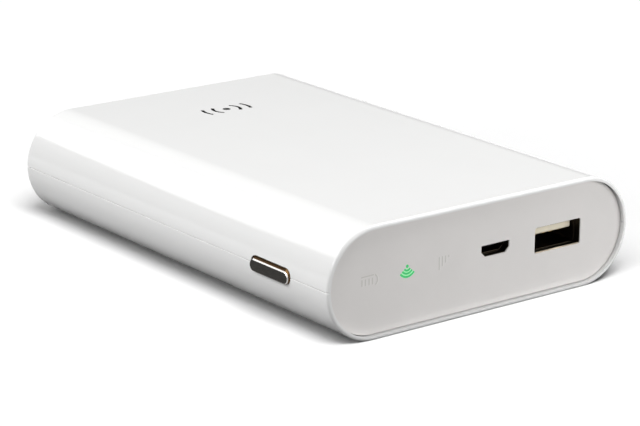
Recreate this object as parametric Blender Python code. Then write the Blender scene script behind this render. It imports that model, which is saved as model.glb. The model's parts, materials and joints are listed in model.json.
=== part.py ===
"""Pocket mobile hotspot with a built-in battery, as an assembly of separate solids.

Frame: +Z up, -Y is the end with the ports, and the origin is the centre of the flat underside.
Every size below is in millimetres. new_object and place turn millimetres into Blender's metres.
"""

import math

import bmesh
import bpy
from mathutils import Matrix, Vector

MM = 0.001
GAP = 0.3

# The body: a flat tube whose two long sides are half circles.
WIDTH = 80.0
LENGTH = 112.4
THICKNESS = 23.8
SIDE_RADIUS = THICKNESS / 2
WALL = 1.5
INNER_RADIUS = SIDE_RADIUS - WALL
SIDE_CENTRE_X = WIDTH / 2 - SIDE_RADIUS
MID_Z = THICKNESS / 2
SEAM_HALF = GAP / 2
END_ROUNDING = 0.75
ARC_STEPS = 12
FRONT_Y = -LENGTH / 2
REAR_Y = LENGTH / 2

# Rail on the lower cover that locates the upper cover.
LIP_OUTER = WALL + GAP
LIP_INNER = 2.6
LIP_ABOVE = 1.2
LIP_BELOW = 1.5
LIP_ROOT = 3.0
LIP_REAR_Y = 47.0

# End plates, recessed inside the rim of the covers.
END_RECESS = 1.05
END_THICK = 1.5
RIM = 0.9
PANEL_FACE_Y = FRONT_Y + END_RECESS
PANEL_BACK_Y = PANEL_FACE_Y + END_THICK
REAR_FACE_Y = REAR_Y - END_RECESS
REAR_INNER_Y = REAR_FACE_Y - END_THICK
END_INSET = RIM + GAP
BULKHEAD_INSET = WALL + GAP

# Ports, seen in the front panel.
USB_X = 21.15
USB_Z = MID_Z + 0.27
USB_HOLE = (12.5, 5.35)
USB_INNER = (12.3, 5.12)
USB_SKIN = 0.3
USB_LENGTH = 13.9
USB_TONGUE_WIDTH = 11.1
USB_TONGUE_BOTTOM_Z = MID_Z + 0.62
USB_TONGUE_THICK = 1.84
USB_TONGUE_SETBACK = 2.4
MICRO_X = 4.0
MICRO_Z = MID_Z + 0.68
MICRO_HOLE = (7.3, 2.25)
MICRO_INNER = (6.9, 1.85)
MICRO_SKIN = 0.3
MICRO_LENGTH = 5.4
MICRO_CHAMFER = 1.0
PORT_FRONT_Y = PANEL_BACK_Y + GAP

# Indicator row.
ICON_X = {"battery": -28.9, "wifi": -19.2, "signal": -9.75}
ICON_Z = MID_Z + 0.5

# Power key on the -X side.
BUTTON_Y = -37.5
BUTTON_Z = MID_Z + 0.1
BUTTON_SIZE = (13.4, 3.5)
BUTTON_CORNER = 1.4
BUTTON_PROUD = 0.6
BUTTON_CHAMFER = 0.4
FLANGE_GROW = 2.4
FLANGE_OUTER_X = -37.6
FLANGE_INNER_X = -36.9

# Main board: an L, with its leg running beside the cells to the card socket.
BOARD_BOTTOM_Z = 10.3
BOARD_TOP_Z = 11.3
PART_Z = BOARD_TOP_Z + GAP
BOARD_FRONT_Y = -52.9
BOARD_BACK_Y = -20.5
BOARD_LEFT_X = -36.0
BOARD_RIGHT_X = 36.5
LEG_LEFT_X = 20.6
LEG_END_Y = 46.8
SCREW_PLACES = ((-30, -47.5), (-30, -25), (30, -32), (30, 8), (30, 26))
BOSS_RADIUS = 2.2
PILOT_RADIUS = 1.1

# Three cylindrical cells side by side.
CELL_RADIUS = 9.2
CELL_LENGTH = 65.0
CELL_PITCH = 18.6
CELL_FRONT_Y = -19.0
CELL_REAR_Y = CELL_FRONT_Y + CELL_LENGTH
CELL_XS = (-27.4, -27.4 + CELL_PITCH, -27.4 + 2 * CELL_PITCH)

# Card bay at the rear.
BULKHEAD_FRONT_Y = 47.6
BULKHEAD_REAR_Y = 49.1
SIM_X = 28.5
SIM_Z = 12.45
SIM_CARD = (12.0, 15.0, 0.8)
RESET_X = 32.0
RESET_Z = 8.4
TONGUE_TIP_Y = 47.0
TONGUES = ((-14, 18.9), (14, 18.9), (0, 4.9))
TONGUE_SIZE = (6.0, 1.0)


# ---------------------------------------------------------------- helpers


def clear_scene():
    for obj in list(bpy.data.objects):
        bpy.data.objects.remove(obj, do_unlink=True)


def material(name, color, roughness, metallic=0.0):
    found = bpy.data.materials.get(name)
    if found:
        return found
    made = bpy.data.materials.new(name)
    made.use_nodes = True
    shader = made.node_tree.nodes["Principled BSDF"]
    shader.inputs["Base Color"].default_value = (*color, 1.0)
    shader.inputs["Roughness"].default_value = roughness
    shader.inputs["Metallic"].default_value = metallic
    return made


def materials():
    return {
        "cover": material("gloss_white", (0.88, 0.88, 0.88), 0.15),
        "end": material("satin_grey", (0.72, 0.71, 0.70), 0.5),
        "key": material("dark_chrome", (0.10, 0.10, 0.10), 0.2, 1.0),
        "steel": material("steel", (0.62, 0.61, 0.59), 0.3, 1.0),
        "nickel": material("nickel", (0.70, 0.68, 0.62), 0.3, 1.0),
        "gold": material("gold", (0.80, 0.60, 0.25), 0.3, 1.0),
        "ivory": material("ivory_plastic", (0.80, 0.77, 0.68), 0.5),
        "black": material("black_plastic", (0.03, 0.03, 0.03), 0.5),
        "frame": material("inner_plastic", (0.75, 0.75, 0.74), 0.6),
        "board": material("board_green", (0.02, 0.18, 0.08), 0.4),
        "cell": material("cell_wrap", (0.10, 0.25, 0.45), 0.4),
        "foam": material("foam", (0.10, 0.10, 0.10), 0.9),
        "paper": material("insulator", (0.35, 0.55, 0.45), 0.8),
        "clear": material("clear_plastic", (0.85, 0.88, 0.88), 0.1),
        "led": material("led", (0.85, 0.85, 0.60), 0.3),
        "antenna": material("antenna_film", (0.55, 0.32, 0.15), 0.4),
        "card": material("sim_card", (0.85, 0.85, 0.83), 0.4),
        "red": material("wire_red", (0.60, 0.03, 0.03), 0.5),
        "wire": material("wire_black", (0.03, 0.03, 0.03), 0.5),
    }


def new_object(name, bm, skin=None, at=(0, 0, 0), smooth=False):
    """An object from a bmesh in millimetres, centred on its own origin and put at a place."""
    bmesh.ops.recalc_face_normals(bm, faces=bm.faces)
    mesh = bpy.data.meshes.new(name)
    bm.to_mesh(mesh)
    bm.free()
    mesh.transform(Matrix.Scale(MM, 4))
    if smooth:
        mesh.shade_smooth()
        mesh.set_sharp_from_angle(angle=math.radians(35))
    obj = bpy.data.objects.new(name, mesh)
    obj.location = Vector(at) * MM
    if skin:
        mesh.materials.append(skin)
    bpy.context.scene.collection.objects.link(obj)
    return obj


def box(size):
    bm = bmesh.new()
    bmesh.ops.create_cube(bm, size=1.0)
    bmesh.ops.scale(bm, vec=size, verts=bm.verts)
    return bm


def box_between(name, low, high, skin=None):
    size = [b - a for a, b in zip(low, high)]
    centre = [(a + b) / 2 for a, b in zip(low, high)]
    return new_object(name, box(size), skin, centre)


def loft(rings):
    """A closed skin through rings of 3-D points, each ring with the same number of points."""
    bm = bmesh.new()
    made = [[bm.verts.new(point) for point in ring] for ring in rings]
    count = len(rings[0])
    for first, second in zip(made, made[1:]):
        for i in range(count):
            j = (i + 1) % count
            bm.faces.new((first[i], first[j], second[j], second[i]))
    bm.faces.new(made[0])
    bm.faces.new(list(reversed(made[-1])))
    return bm


def along_y(outline, low, high):
    """A prism of an (x, z) outline from y low to y high."""
    return loft([[(x, y, z) for x, z in outline] for y in (low, high)])


def along_x(outline, low, high):
    """A prism of a (y, z) outline from x low to x high."""
    return loft([[(x, y, z) for y, z in outline] for x in (low, high)])


def along_z(outline, low, high):
    """A prism of an (x, y) outline from z low to z high."""
    return loft([[(x, y, z) for x, y in outline] for z in (low, high)])


def arc(centre, radius, start, end, steps):
    """Points of a circle's arc, angles in degrees, both ends included."""
    points = []
    for i in range(steps + 1):
        angle = math.radians(start + (end - start) * i / steps)
        points.append((centre[0] + radius * math.cos(angle), centre[1] + radius * math.sin(angle)))
    return points


def circle(centre, radius, steps):
    return arc(centre, radius, 0, 360, steps)[:-1]


def rounded_rectangle(size, corner, steps=4):
    half_u = size[0] / 2 - corner
    half_v = size[1] / 2 - corner
    centres = ((half_u, half_v), (-half_u, half_v), (-half_u, -half_v), (half_u, -half_v))
    points = []
    for i, centre in enumerate(centres):
        points += arc(centre, corner, 90 * i, 90 * i + 90, steps)
    return points


def moved(outline, du, dv):
    return [(u + du, v + dv) for u, v in outline]


def stadium(inset):
    """The body's cross-section in (x, z), drawn in by inset all round."""
    radius = SIDE_RADIUS - inset
    right = arc((SIDE_CENTRE_X, MID_Z), radius, -90, 90, 2 * ARC_STEPS)
    left = arc((-SIDE_CENTRE_X, MID_Z), radius, 90, 270, 2 * ARC_STEPS)
    return right + left


def micro_outline(size, chamfer):
    """The micro port's section in (x, z): square corners above, chamfered corners below."""
    w = size[0] / 2
    h = size[1] / 2
    return [(w, h), (-w, h), (-w, -h + chamfer), (-w + chamfer, -h), (w - chamfer, -h), (w, -h + chamfer)]


def cutter(name, bm, at=(0, 0, 0)):
    obj = new_object(name, bm, None, at)
    obj.hide_render = True
    obj.display_type = "WIRE"
    return obj


def boolean(target, tool, operation):
    modifier = target.modifiers.new(tool.name, "BOOLEAN")
    modifier.operation = operation
    modifier.object = tool


def cut(target, bm, at=(0, 0, 0)):
    """Takes a bmesh shape away from the target."""
    tool = cutter(f"{target.name}.cut.{len(target.modifiers)}", bm, at)
    boolean(target, tool, "DIFFERENCE")


def join(target, bm, at=(0, 0, 0)):
    """Adds a bmesh shape to the target, as one body."""
    tool = cutter(f"{target.name}.join.{len(target.modifiers)}", bm, at)
    boolean(target, tool, "UNION")


def hang_on(parent, *children):
    """Parents objects to an empty and leaves them where they are."""
    for child in children:
        child.parent = parent
        child.location = child.location - parent.location


def empty(name, at):
    made = bpy.data.objects.new(name, None)
    made.location = Vector(at) * MM
    bpy.context.scene.collection.objects.link(made)
    return made


def smooth_route(points, step):
    """Points about step apart on a Catmull-Rom curve through a route's own points."""
    route = [Vector(p) for p in points]
    route = [2 * route[0] - route[1], *route, 2 * route[-1] - route[-2]]
    made = []
    for a, b, c, d in zip(route, route[1:], route[2:], route[3:]):
        pieces = max(1, round((c - b).length / step))
        for i in range(pieces):
            t = i / pieces
            bend = 2 * a - 5 * b + 4 * c - d
            twist = 3 * b - a - 3 * c + d
            made.append(0.5 * (2 * b + (c - a) * t + bend * t * t + twist * t**3))
    made.append(route[-2])
    return made


def wire(name, points, radius, skin):
    """A round wire along a route."""
    line = bpy.data.curves.new(name, "CURVE")
    line.dimensions = "3D"
    line.bevel_depth = radius * MM
    line.bevel_resolution = 2
    line.use_fill_caps = True
    route = smooth_route(points, 5 * radius)
    spline = line.splines.new("POLY")
    spline.points.add(len(route) - 1)
    for target, place in zip(spline.points, route):
        target.co = (*(place * MM), 1.0)
    line.materials.append(skin)
    obj = bpy.data.objects.new(name, line)
    bpy.context.scene.collection.objects.link(obj)
    return obj


# ---------------------------------------------------------------- covers


def cover_ring(y, outer_inset, upper):
    """One cross-section of a cover in (x, z) at a given y. The lower one carries the two rails."""
    side = 1 if upper else -1
    outer = SIDE_RADIUS - outer_inset
    tilt_outer = math.degrees(math.asin(SEAM_HALF / outer))
    tilt_inner = math.degrees(math.asin(SEAM_HALF / INNER_RADIUS))
    right = arc((SIDE_CENTRE_X, 0), outer, tilt_outer, 90, ARC_STEPS)
    left = arc((-SIDE_CENTRE_X, 0), outer, 90, 180 - tilt_outer, ARC_STEPS)
    outside = right + left
    if upper:
        back_left = arc((-SIDE_CENTRE_X, 0), INNER_RADIUS, 180 - tilt_inner, 90, ARC_STEPS)
        back_right = arc((SIDE_CENTRE_X, 0), INNER_RADIUS, 90, tilt_inner, ARC_STEPS)
        inside = back_left + back_right
    else:
        root = math.degrees(math.asin(LIP_ROOT / INNER_RADIUS))
        half = WIDTH / 2
        rail = [(half - LIP_OUTER, -LIP_ABOVE), (half - LIP_INNER, -LIP_ABOVE), (half - LIP_INNER, LIP_BELOW)]
        back_left = arc((-SIDE_CENTRE_X, 0), INNER_RADIUS, 180 - root, 90, ARC_STEPS)
        back_right = arc((SIDE_CENTRE_X, 0), INNER_RADIUS, 90, root, ARC_STEPS)
        left_rail = [(-half + LIP_OUTER, SEAM_HALF)] + [(-x, z) for x, z in rail]
        right_rail = [(x, z) for x, z in reversed(rail)] + [(half - LIP_OUTER, SEAM_HALF)]
        inside = left_rail + back_left + back_right + right_rail
    return [(x, y, MID_Z + side * z) for x, z in outside + inside]


def make_cover(name, upper, skin):
    """Half of the tube, wall WALL thick, with its two end edges rounded."""
    quarter = END_ROUNDING * (1 - math.cos(math.radians(45)))
    steps = [(0, END_ROUNDING), (quarter, quarter), (END_ROUNDING, 0)]
    rings = [cover_ring(FRONT_Y + d, inset, upper) for d, inset in steps]
    rings += [cover_ring(REAR_Y - d, inset, upper) for d, inset in reversed(steps)]
    cover = new_object(name, loft(rings), skin, smooth=True)
    slot = (BUTTON_SIZE[0] + 2 * GAP, BUTTON_SIZE[1] + 2 * GAP)
    outline = moved(rounded_rectangle(slot, BUTTON_CORNER + GAP), BUTTON_Y, BUTTON_Z)
    cut(cover, along_x(outline, -WIDTH / 2 - 1, -WIDTH / 2 + 4))
    # The wall is thinner at each end, where the end plate sits.
    for low, high in ((FRONT_Y - 1, PANEL_BACK_Y + GAP), (REAR_INNER_Y - GAP, REAR_Y + 1)):
        cut(cover, along_y(stadium(RIM), low, high))
    return cover


def make_top_cover(skins):
    return make_cover("top_cover", True, skins["cover"])


def make_bottom_cover(skins):
    cover = make_cover("bottom_cover", False, skins["cover"])
    # The rails stop short of the rear bulkhead and of the power key's flange.
    inside = [(x, max(z, MID_Z - LIP_ROOT)) for x, z in stadium(WALL + 0.05)]
    cut(cover, along_y(inside, LIP_REAR_Y, REAR_Y + 1))
    flange = BUTTON_SIZE[0] + FLANGE_GROW + 4
    clear = moved(rounded_rectangle((flange, 2 * LIP_ROOT), 0.5, 1), BUTTON_Y, MID_Z)
    cut(cover, along_x(clear, -WIDTH / 2 + WALL + 0.1, -WIDTH / 2 + 6))
    for x, y in SCREW_PLACES:
        join(cover, along_z(circle((x, y), BOSS_RADIUS, 16), 1.0, BOARD_BOTTOM_Z - GAP))
        cut(cover, along_z(circle((x, y), PILOT_RADIUS, 12), 3.0, BOARD_BOTTOM_Z))
    # Scoop in the rear rim, where a fingernail lifts the rear cover.
    scoop = circle((0, 0), 7.0, 24)
    cut(cover, along_x([(REAR_Y + v * 0.2, u * 0.26) for u, v in scoop], -6, 6))
    return cover


# ---------------------------------------------------------------- ends


def make_front_panel(skins):
    panel = new_object("front_panel", along_y(stadium(END_INSET), PANEL_FACE_Y, PANEL_BACK_Y), skins["end"])
    usb = moved(rounded_rectangle(USB_HOLE, 0.4, 2), USB_X, USB_Z)
    micro = moved(micro_outline(MICRO_HOLE, MICRO_CHAMFER), MICRO_X, MICRO_Z)
    for hole in (usb, micro):
        cut(panel, along_y(hole, PANEL_FACE_Y - 1, PANEL_BACK_Y + 1))
    return panel


def make_rear_cover(skins):
    cover = new_object("rear_cover", along_y(stadium(END_INSET), REAR_INNER_Y, REAR_FACE_Y), skins["end"])
    for x, z in TONGUES:
        length = REAR_INNER_Y - TONGUE_TIP_Y + 0.5
        size = (TONGUE_SIZE[0], length, TONGUE_SIZE[1])
        join(cover, box(size), (x, TONGUE_TIP_Y + length / 2, z))
    return cover


def make_rear_bulkhead(skins):
    plate = along_y(stadium(BULKHEAD_INSET), BULKHEAD_FRONT_Y, BULKHEAD_REAR_Y)
    bulkhead = new_object("rear_bulkhead", plate, skins["frame"])
    thick = BULKHEAD_REAR_Y - BULKHEAD_FRONT_Y + 1
    middle = (BULKHEAD_REAR_Y + BULKHEAD_FRONT_Y) / 2
    cut(bulkhead, box((SIM_CARD[0] + 1.0, thick, SIM_CARD[2] + 1.0)), (SIM_X, middle, SIM_Z))
    reset = along_y(circle((RESET_X, RESET_Z), 1.2, 16), middle - thick / 2, middle + thick / 2)
    cut(bulkhead, reset)
    for x, z in TONGUES:
        size = (TONGUE_SIZE[0] + 2 * GAP, thick, TONGUE_SIZE[1] + 2 * GAP)
        cut(bulkhead, box(size), (x, middle, z))
    return bulkhead


# ---------------------------------------------------------------- power key


def key_ring(x, size, corner):
    return [(x, u, v) for u, v in rounded_rectangle(size, corner)]


def make_power_key(skins):
    """The key's cap passes through the slot in the covers, and its flange keeps it in."""
    at = empty("power_key_axis", (-WIDTH / 2, BUTTON_Y, BUTTON_Z))
    small = tuple(s - 2 * BUTTON_CHAMFER for s in BUTTON_SIZE)
    large = tuple(s + FLANGE_GROW for s in BUTTON_SIZE)
    outer = FLANGE_OUTER_X + WIDTH / 2
    inner = FLANGE_INNER_X + WIDTH / 2
    rings = [
        key_ring(-BUTTON_PROUD, small, BUTTON_CORNER - BUTTON_CHAMFER),
        key_ring(-BUTTON_PROUD + BUTTON_CHAMFER, BUTTON_SIZE, BUTTON_CORNER),
        key_ring(outer, BUTTON_SIZE, BUTTON_CORNER),
        key_ring(outer, large, BUTTON_CORNER),
        key_ring(inner, large, BUTTON_CORNER),
    ]
    button = new_object("power_button", loft(rings), skins["key"], (-WIDTH / 2, BUTTON_Y, BUTTON_Z))
    hang_on(at, button)


def make_power_switch(skins):
    plunger_size = (2.0, 2.6, 1.2)
    tip_x = FLANGE_INNER_X + GAP
    z = PART_Z + 1.6
    body = box_between(
        "power_switch_body",
        (tip_x + 1.2, BUTTON_Y - 3, PART_Z),
        (tip_x + 4.7, BUTTON_Y + 3, PART_Z + 3.2),
        skins["black"],
    )
    pocket = (3.2, plunger_size[1] + 0.4, plunger_size[2] + 0.4)
    cut(body, box(pocket), (tip_x + 1.2, BUTTON_Y, z))
    centre = (tip_x + plunger_size[0] / 2, BUTTON_Y, z)
    new_object("power_switch_plunger", box(plunger_size), skins["ivory"], centre)


# ---------------------------------------------------------------- board and ports


def make_main_board(skins):
    outline = [
        (BOARD_LEFT_X, BOARD_FRONT_Y),
        (BOARD_RIGHT_X, BOARD_FRONT_Y),
        (BOARD_RIGHT_X, LEG_END_Y),
        (LEG_LEFT_X, LEG_END_Y),
        (LEG_LEFT_X, BOARD_BACK_Y),
        (BOARD_LEFT_X, BOARD_BACK_Y),
    ]
    board = new_object("main_board", along_z(outline, BOARD_BOTTOM_Z, BOARD_TOP_Z), skins["board"])
    notch_width = USB_INNER[0] + 2 * USB_SKIN + 2 * GAP
    notch_end = PORT_FRONT_Y + USB_LENGTH + GAP
    length = notch_end - BOARD_FRONT_Y + 1
    cut(board, box((notch_width, length, 3)), (USB_X, notch_end - length / 2, BOARD_TOP_Z - 0.5))
    for x, y in SCREW_PLACES:
        cut(board, along_z(circle((x, y), PILOT_RADIUS, 12), BOARD_BOTTOM_Z - 1, BOARD_TOP_Z + 1))
    return board


def make_usb_a_port(skins):
    outer = (USB_INNER[0] + 2 * USB_SKIN, USB_INNER[1] + 2 * USB_SKIN)
    end_y = PORT_FRONT_Y + USB_LENGTH
    tube = moved(rounded_rectangle(outer, 0.5, 2), USB_X, USB_Z)
    hole = moved(rounded_rectangle(USB_INNER, 0.3, 2), USB_X, USB_Z)
    shell = new_object("usb_a_shell", along_y(tube, PORT_FRONT_Y, end_y), skins["steel"])
    cut(shell, along_y(hole, PORT_FRONT_Y - 1, end_y + 1))
    # The tongue stands on a block that fills the back of the shell.
    front = PANEL_FACE_Y + USB_TONGUE_SETBACK
    low = USB_TONGUE_BOTTOM_Z
    high = low + USB_TONGUE_THICK
    floor = USB_Z - USB_INNER[1] / 2 + 0.2
    block = end_y - 3
    rear = end_y - 0.2
    side = [(front, low), (block, low), (block, floor), (rear, floor), (rear, high), (front, high)]
    half = USB_TONGUE_WIDTH / 2
    new_object("usb_a_tongue", along_x(side, USB_X - half, USB_X + half), skins["ivory"])
    for number, x in enumerate((-3.5, -1.0, 1.0, 3.5), 1):
        box_between(
            f"usb_a_contact_{number}",
            (USB_X + x - 0.5, front + 1.0, low - 0.35),
            (USB_X + x + 0.5, block - GAP, low - 0.15),
            skins["gold"],
        )


def make_micro_usb_port(skins):
    outer = (MICRO_INNER[0] + 2 * MICRO_SKIN, MICRO_INNER[1] + 2 * MICRO_SKIN)
    end_y = PORT_FRONT_Y + MICRO_LENGTH
    tube = moved(micro_outline(outer, MICRO_CHAMFER), MICRO_X, MICRO_Z)
    hole = moved(micro_outline(MICRO_INNER, MICRO_CHAMFER - 0.15), MICRO_X, MICRO_Z)
    shell = new_object("micro_usb_shell", along_y(tube, PORT_FRONT_Y, end_y), skins["steel"])
    cut(shell, along_y(hole, PORT_FRONT_Y - 1, end_y + 1))
    top = MICRO_Z + MICRO_INNER[1] / 2 - 0.35
    tongue = [(PORT_FRONT_Y + 0.8, top - 0.6), (end_y - 1, top - 0.6), (end_y - 1, top - 1.3)]
    tongue += [(end_y - 0.2, top - 1.3), (end_y - 0.2, top), (PORT_FRONT_Y + 0.8, top)]
    new_object("micro_usb_tongue", along_x(tongue, MICRO_X - 2.2, MICRO_X + 2.2), skins["black"])


def make_indicators(skins):
    """Three lamps at the board's front edge, and the clear bar that carries their light to the panel."""
    front = PANEL_BACK_Y + 0.25
    low_x = ICON_X["battery"] - 3.2
    high_x = ICON_X["signal"] + 3.2
    corners = ((low_x, front, PART_Z), (high_x, front + 0.6, ICON_Z + 1.6))
    guide = box_between("light_guide", *corners, skins["clear"])
    for name, x in ICON_X.items():
        join(guide, box((4.4, 0.8, 2.0)), (x, front + 0.7, PART_Z + 1.1))
        box_between(f"led_{name}", (x - 0.8, -51.9, PART_Z), (x + 0.8, -51.0, PART_Z + 1.0), skins["led"])


def make_can(name, low, high, skin):
    """A sheet-metal screening can, open underneath."""
    can = box_between(name, low, high, skin)
    inner_low = (low[0] + 0.3, low[1] + 0.3, low[2] - 1)
    inner_high = (high[0] - 0.3, high[1] - 0.3, high[2] - 0.3)
    size = [b - a for a, b in zip(inner_low, inner_high)]
    cut(can, box(size), [(a + b) / 2 for a, b in zip(inner_low, inner_high)])


def make_board_parts(skins):
    make_can("modem_shield", (-27, -48, PART_Z), (-5, -26, PART_Z + 2.2), skins["nickel"])
    make_can("wifi_shield", (22.5, -14, PART_Z), (34.5, 2, PART_Z + 2.0), skins["nickel"])
    inductor = along_z(rounded_rectangle((7.3, 7.3), 1.2, 3), 0, 4.2)
    new_object("power_inductor", inductor, skins["black"], (5, -35, PART_Z))
    for number, x in enumerate((13.8, 20.8), 1):
        can = along_z(circle((0, 0), 3.0, 20), 0, 5.4)
        new_object(f"capacitor_{number}", can, skins["nickel"], (x, -32, PART_Z), smooth=True)
    for name, place in (("main_antenna_socket", (24, -25)), ("wifi_antenna_socket", (-1.5, -30))):
        new_object(name, along_z(circle((0, 0), 1.1, 12), 0, 1.0), skins["gold"], (*place, PART_Z))


def make_screw(number, x, y, skins):
    """Self-tapping screw with a cross recess, head on the board."""
    shank = 0.8
    head = 1.6
    tip_z = -6.6
    profile = [(0.25, tip_z), (shank, tip_z + 1.0), (shank, 0), (head, 0), (head, 0.7), (head - 0.35, 1.0)]
    rings = [[(u, v, z) for u, v in circle((0, 0), r, 14)] for r, z in profile]
    screw = new_object(f"board_screw_{number}", loft(rings), skins["steel"], (x, y, PART_Z), smooth=True)
    arm = 0.9
    slot = 0.28
    cross = [(arm, -slot), (arm, slot), (slot, slot), (slot, arm), (-slot, arm), (-slot, slot)]
    cross += [(-arm, slot), (-arm, -slot), (-slot, -slot), (-slot, -arm), (slot, -arm), (slot, -slot)]
    cut(screw, along_z(cross, 0.45, 2.0), (x, y, PART_Z))


# ---------------------------------------------------------------- battery


def make_cell(number, x, skins):
    """One cell, turned about its own axis along Y, positive button to the front."""
    front = -CELL_LENGTH / 2
    rear = CELL_LENGTH / 2
    crimp = 0.5
    profile = [
        (2.8, front),
        (3.0, front + 0.7),
        (CELL_RADIUS - 2.4, front + 0.7),
        (CELL_RADIUS - 1.6, front + 0.1),
        (CELL_RADIUS - crimp, front + 0.1),
        (CELL_RADIUS, front + 0.7),
        (CELL_RADIUS, front + 2.4),
        (CELL_RADIUS - 0.45, front + 2.8),
        (CELL_RADIUS, front + 3.2),
        (CELL_RADIUS, rear - 0.6),
        (CELL_RADIUS - crimp, rear),
    ]
    rings = [[(u, y, v) for u, v in circle((0, 0), r, 32)] for r, y in profile]
    middle_y = CELL_FRONT_Y + CELL_LENGTH / 2
    new_object(f"battery_cell_{number}", loft(rings), skins["cell"], (x, middle_y, MID_Z), smooth=True)


def make_saddle(name, y, upper, skins):
    """A comb that grips the three cells from above or from below."""
    saddle = new_object(name, along_y(stadium(BULKHEAD_INSET), y - 1.5, y + 1.5), skins["frame"])
    reach = 2.9
    side = 1 if upper else -1
    away = 20.0
    cut(saddle, box((WIDTH, 5, away)), (0, y, MID_Z + side * (reach - away / 2)))
    right_edge = CELL_XS[-1] + CELL_RADIUS + 0.5
    cut(saddle, box((away * 2, 5, THICKNESS + 2)), (right_edge + away, y, MID_Z))
    for x in CELL_XS:
        hole = along_y(circle((0, 0), CELL_RADIUS + 0.2, 32), -3, 3)
        cut(saddle, hole, (x, y, MID_Z))
    if upper:
        # Channel for the lead that runs between the second and third cell.
        cut(saddle, box((3.0, 5, 4.0)), (CELL_XS[1] + CELL_PITCH / 2, y, MID_Z + 9.1))


def make_battery(skins):
    for number, x in enumerate(CELL_XS, 1):
        make_cell(number, x, skins)
    for end, y in (("front", CELL_FRONT_Y + 3.5), ("rear", CELL_REAR_Y - 4.5)):
        make_saddle(f"cell_saddle_lower_{end}", y, False, skins)
        make_saddle(f"cell_saddle_upper_{end}", y, True, skins)
    strip = moved(rounded_rectangle((2 * CELL_PITCH + 8, 8), 3.9, 4), CELL_XS[1], MID_Z)
    for end, low in (("front", CELL_FRONT_Y - 0.6), ("rear", CELL_REAR_Y + 0.3)):
        new_object(f"cell_tab_{end}", along_y(strip, low, low + 0.3), skins["nickel"])
    for name, low in (("foam_pad_top", MID_Z + 9.5), ("foam_pad_bottom", MID_Z - 10.1)):
        box_between(name, (-27, -6, low), (-3, 34, low + 0.6), skins["foam"])
    sheet = box_between("insulator_sheet", (-34, -20.2, 3.8), (19, -19.9, 18.4), skins["paper"])
    cut(sheet, box((4, 2, 8)), (-10, -20, 16.0))


def make_leads(skins):
    """Supply leads from the cells to the board, and the antenna cables."""
    board = BOARD_TOP_Z + 0.35
    positive = [(-10, -19.9, 15.5), (-10, -21.6, 15.4), (-10, -23, 14.4)]
    positive += [(-10, -23.4, 13), (-10, -23.4, board)]
    wire("battery_lead_positive", positive, 0.8, skins["red"])
    valley = CELL_XS[1] + CELL_PITCH / 2
    negative = [
        (valley, 45.8, 20.2),
        (valley, 25, 20.2),
        (valley, 5, 20.2),
        (valley, -16, 20.2),
        (valley, -20, 19.8),
        (valley, -22.6, 17.6),
        (valley, -23.4, 14.5),
        (valley, -23.4, board),
    ]
    wire("battery_lead_negative", negative, 0.8, skins["wire"])
    above = PART_Z + 1.3
    main = [(24, -25, above), (24, -25, 14.2), (26, -22, 16.0), (30.5, -15, 17.2), (33.8, -9.5, 17.0)]
    wire("main_antenna_cable", main, 0.6, skins["wire"])
    wifi = [(-1.5, -30, above), (-1.5, -30, 15), (-3.5, -31, 18.5), (-8, -33, 21.0)]
    wire("wifi_antenna_cable", wifi, 0.6, skins["wire"])


# ---------------------------------------------------------------- antennas and card


def make_side_antenna(name, low_y, high_y, skins):
    """A film bent to the inside of the +X wall."""
    outer = INNER_RADIUS - GAP
    centre = (SIDE_CENTRE_X, MID_Z)
    band = arc(centre, outer, 18, 62, 8) + arc(centre, outer - 0.4, 62, 18, 8)
    new_object(name, along_y(band, low_y, high_y), skins["antenna"], smooth=True)


def make_antennas(skins):
    make_side_antenna("main_antenna", -12, 38, skins)
    make_side_antenna("diversity_antenna", -50, -20, skins)
    top = THICKNESS - WALL - GAP
    box_between("wifi_antenna", (-24, -50, top - 0.3), (-6, -28, top), skins["antenna"])


def make_sim_parts(skins):
    width, length, thick = SIM_CARD
    socket_front = 32.0
    socket_rear = 46.6
    socket = box_between(
        "sim_socket",
        (SIM_X - width / 2 - 1.2, socket_front, BOARD_TOP_Z + 0.2),
        (SIM_X + width / 2 + 1.2, socket_rear, SIM_Z + 1.05),
        skins["nickel"],
    )
    mouth = socket_rear - socket_front
    cut(socket, box((width + 0.6, mouth, thick + 0.5)), (SIM_X, socket_front + 1.0 + mouth / 2, SIM_Z))
    at = empty("sim_card_axis", (SIM_X, BULKHEAD_REAR_Y, SIM_Z))
    half = width / 2
    corner = 2.2
    outline = [(-half, 0), (-half, -length + corner), (-half + corner, -length), (half, -length), (half, 0)]
    card = along_z(outline, -thick / 2, thick / 2)
    place = (SIM_X, BULKHEAD_REAR_Y - 0.1, SIM_Z)
    hang_on(at, new_object("sim_card", card, skins["card"], place))


def make_reset(skins):
    body_rear = 46.4
    top = BOARD_BOTTOM_Z - GAP
    corners = ((RESET_X - 2.4, 42.2, top - 3.2), (RESET_X + 2.4, body_rear, top))
    body = box_between("reset_switch_body", *corners, skins["black"])
    cut(body, along_y(circle((RESET_X, RESET_Z), 1.05, 12), body_rear - 1.6, body_rear + 1))
    stem = along_y(circle((0, 0), 0.8, 12), 0, 2.8)
    new_object("reset_button", stem, skins["ivory"], (RESET_X, body_rear - 0.8, RESET_Z), smooth=True)


def main():
    clear_scene()
    skins = materials()
    make_top_cover(skins)
    make_bottom_cover(skins)
    make_front_panel(skins)
    make_rear_cover(skins)
    make_rear_bulkhead(skins)
    make_power_key(skins)
    make_power_switch(skins)
    make_main_board(skins)
    make_usb_a_port(skins)
    make_micro_usb_port(skins)
    make_indicators(skins)
    make_board_parts(skins)
    for number, (x, y) in enumerate(SCREW_PLACES, 1):
        make_screw(number, x, y, skins)
    make_battery(skins)
    make_leads(skins)
    make_antennas(skins)
    make_sim_parts(skins)
    make_reset(skins)


main()
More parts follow.
